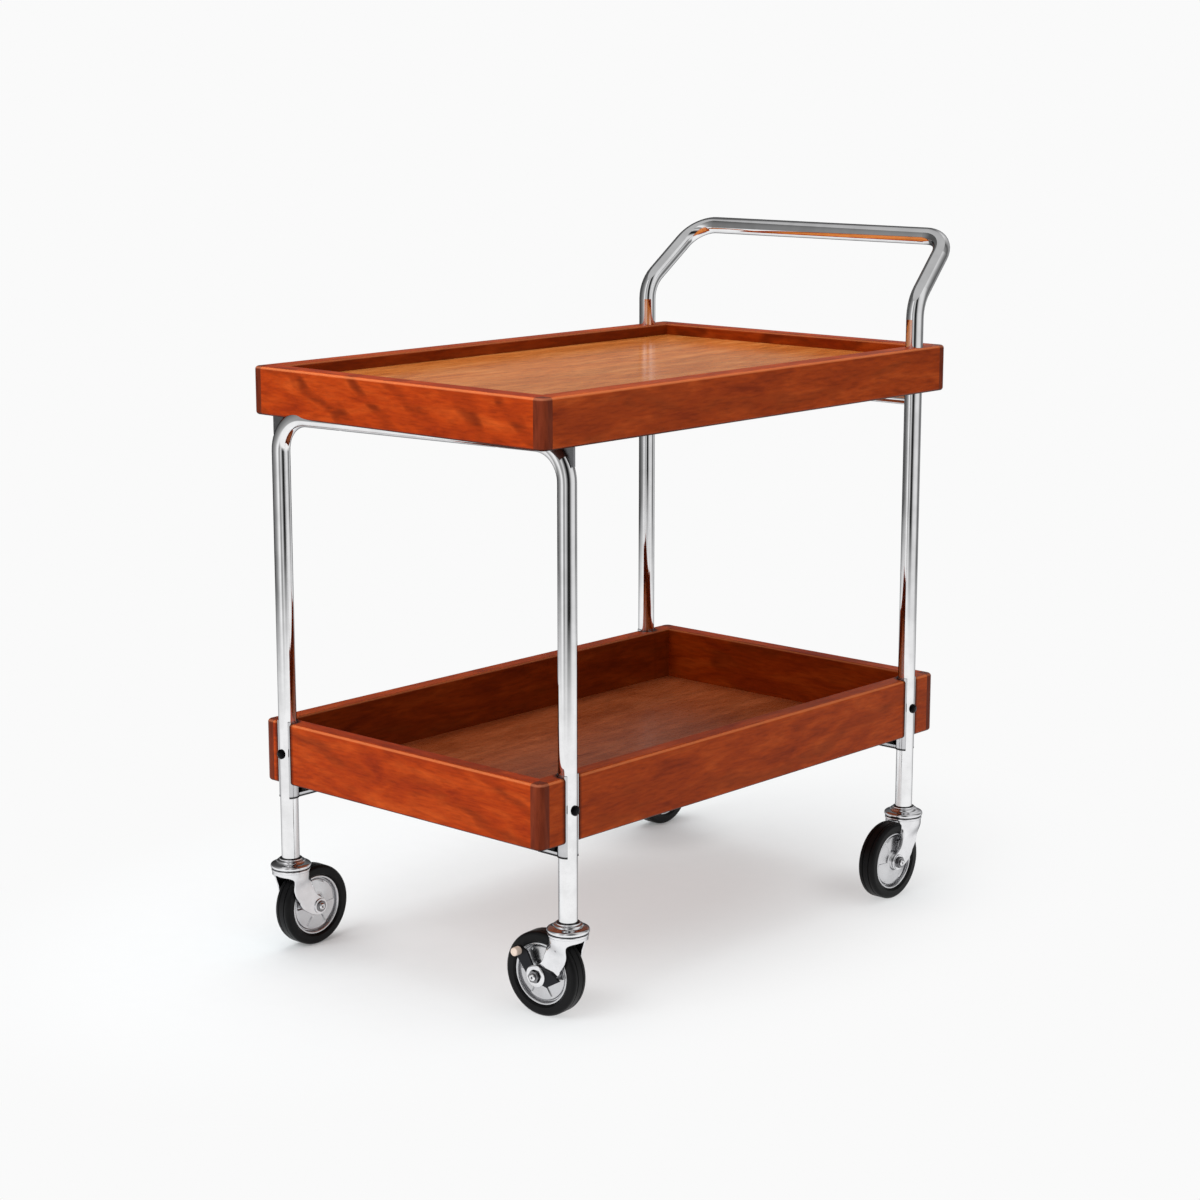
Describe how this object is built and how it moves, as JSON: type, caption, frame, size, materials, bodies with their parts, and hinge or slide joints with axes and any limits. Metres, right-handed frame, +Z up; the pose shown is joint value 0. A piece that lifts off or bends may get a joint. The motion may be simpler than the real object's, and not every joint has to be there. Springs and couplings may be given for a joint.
{
  "type": "rolling serving cart",
  "caption": "Serving cart with a shallow wooden top tray and a deeper lower tray on a bent chrome tube frame with a push handle and swivel casters.",
  "frame": {"origin": "on the floor, under the middle of the cart's bounding box", "axes": "+Z up, +X toward the push handle, +Y to the left side"},
  "size_m": [0.8174, 0.4979, 0.861],
  "materials": {
    "rail_wood": "satin oiled, warm red-brown",
    "post_wood": "satin oiled, darker end posts",
    "panel_wood_top": "satin lacquer, pale reddish brown",
    "panel_wood_lower": "satin lacquer, dull reddish brown",
    "chrome_tube": "bright chrome plate",
    "chrome_caster": "bright chrome plate",
    "black_screw": "black oxide",
    "steel_screw": "zinc plate",
    "axle_steel": "zinc plate",
    "wheel_metal": "pressed and polished",
    "tyre_rubber": "black rubber",
    "bush_plastic": "natural nylon",
    "lever_steel": "dark grey",
    "knob_plastic": "pale"
  },
  "bodies": {
    "cart": {"back_frame_tube": "chrome_tube", "caster_balls": "axle_steel", "caster_caps": "chrome_caster", "caster_stems": "axle_steel", "front_cleat": "rail_wood", "front_frame_tube": "chrome_tube", "front_run_screws": "steel_screw", "front_support_tab_left": "chrome_tube", "front_support_tab_right": "chrome_tube", "leg_ferrules": "chrome_caster", "leg_screws": "black_screw", "lower_tray_back_rail": "rail_wood", "lower_tray_front_rail": "rail_wood", "lower_tray_left_rail": "rail_wood", "lower_tray_pads": "tyre_rubber", "lower_tray_panel": "panel_wood_lower", "lower_tray_post_back_left": "post_wood", "lower_tray_post_back_right": "post_wood", "lower_tray_post_front_left": "post_wood", "lower_tray_post_front_right": "post_wood", "lower_tray_right_rail": "rail_wood", "lower_tray_saddles": "chrome_tube", "top_back_crossbar": "chrome_tube", "top_tray_back_rail": "rail_wood", "top_tray_front_rail": "rail_wood", "top_tray_left_rail": "rail_wood", "top_tray_leg_screws": "steel_screw", "top_tray_panel": "panel_wood_top", "top_tray_post_back_left": "post_wood", "top_tray_post_back_right": "post_wood", "top_tray_post_front_left": "post_wood", "top_tray_post_front_right": "post_wood", "top_tray_right_rail": "rail_wood"},
    "swivel_front_left": {"fork_front_left": "chrome_caster", "axle_bolt_front_left": "axle_steel", "axle_nut_front_left": "axle_steel"},
    "wheel_front_left": {"wheel_disc_front_left": "wheel_metal", "wheel_tyre_front_left": "tyre_rubber", "wheel_bush_front_left": "bush_plastic"},
    "swivel_front_right": {"fork_front_right": "chrome_caster", "axle_bolt_front_right": "axle_steel", "axle_nut_front_right": "axle_steel"},
    "wheel_front_right": {"wheel_disc_front_right": "wheel_metal", "wheel_tyre_front_right": "tyre_rubber", "wheel_bush_front_right": "bush_plastic"},
    "brake": {"brake_lever": "lever_steel", "brake_knob": "knob_plastic"},
    "swivel_back_left": {"fork_back_left": "chrome_caster", "axle_bolt_back_left": "axle_steel", "axle_nut_back_left": "axle_steel"},
    "wheel_back_left": {"wheel_disc_back_left": "wheel_metal", "wheel_tyre_back_left": "tyre_rubber", "wheel_bush_back_left": "bush_plastic"},
    "swivel_back_right": {"fork_back_right": "chrome_caster", "axle_bolt_back_right": "axle_steel", "axle_nut_back_right": "axle_steel"},
    "wheel_back_right": {"wheel_disc_back_right": "wheel_metal", "wheel_tyre_back_right": "tyre_rubber", "wheel_bush_back_right": "bush_plastic"}
  },
  "joints": [
    {"name": "swivel_front_left", "type": "hinge", "parent": "cart", "child": "swivel_front_left", "pos_m": [-0.38375, 0.1965, 0.1], "axis": [0, 0, 1], "continuous": true},
    {"name": "roll_front_left", "type": "hinge", "parent": "swivel_front_left", "child": "wheel_front_left", "pos_m": [-0.35175, 0.1965, 0.05], "axis": [0, 1, 0], "continuous": true},
    {"name": "swivel_front_right", "type": "hinge", "parent": "cart", "child": "swivel_front_right", "pos_m": [-0.33825, -0.224, 0.1], "axis": [0, 0, 1], "continuous": true},
    {"name": "roll_front_right", "type": "hinge", "parent": "swivel_front_right", "child": "wheel_front_right", "pos_m": [-0.34104, -0.19212, 0.05], "axis": [-0.9962, -0.0872, 0], "continuous": true},
    {"name": "brake_turn", "type": "hinge", "parent": "swivel_front_right", "child": "brake", "pos_m": [-0.34104, -0.19212, 0.05], "axis": [-0.9962, -0.0872, 0], "range_deg": [0, 28]},
    {"name": "swivel_back_left", "type": "hinge", "parent": "cart", "child": "swivel_back_left", "pos_m": [0.30775, 0.224, 0.1], "axis": [0, 0, 1], "continuous": true},
    {"name": "roll_back_left", "type": "hinge", "parent": "swivel_back_left", "child": "wheel_back_left", "pos_m": [0.33975, 0.224, 0.05], "axis": [0, 1, 0], "continuous": true},
    {"name": "swivel_back_right", "type": "hinge", "parent": "cart", "child": "swivel_back_right", "pos_m": [0.30775, -0.224, 0.1], "axis": [0, 0, 1], "continuous": true},
    {"name": "roll_back_right", "type": "hinge", "parent": "swivel_back_right", "child": "wheel_back_right", "pos_m": [0.27575, -0.224, 0.05], "axis": [0, -1, 0], "continuous": true}
  ]
}
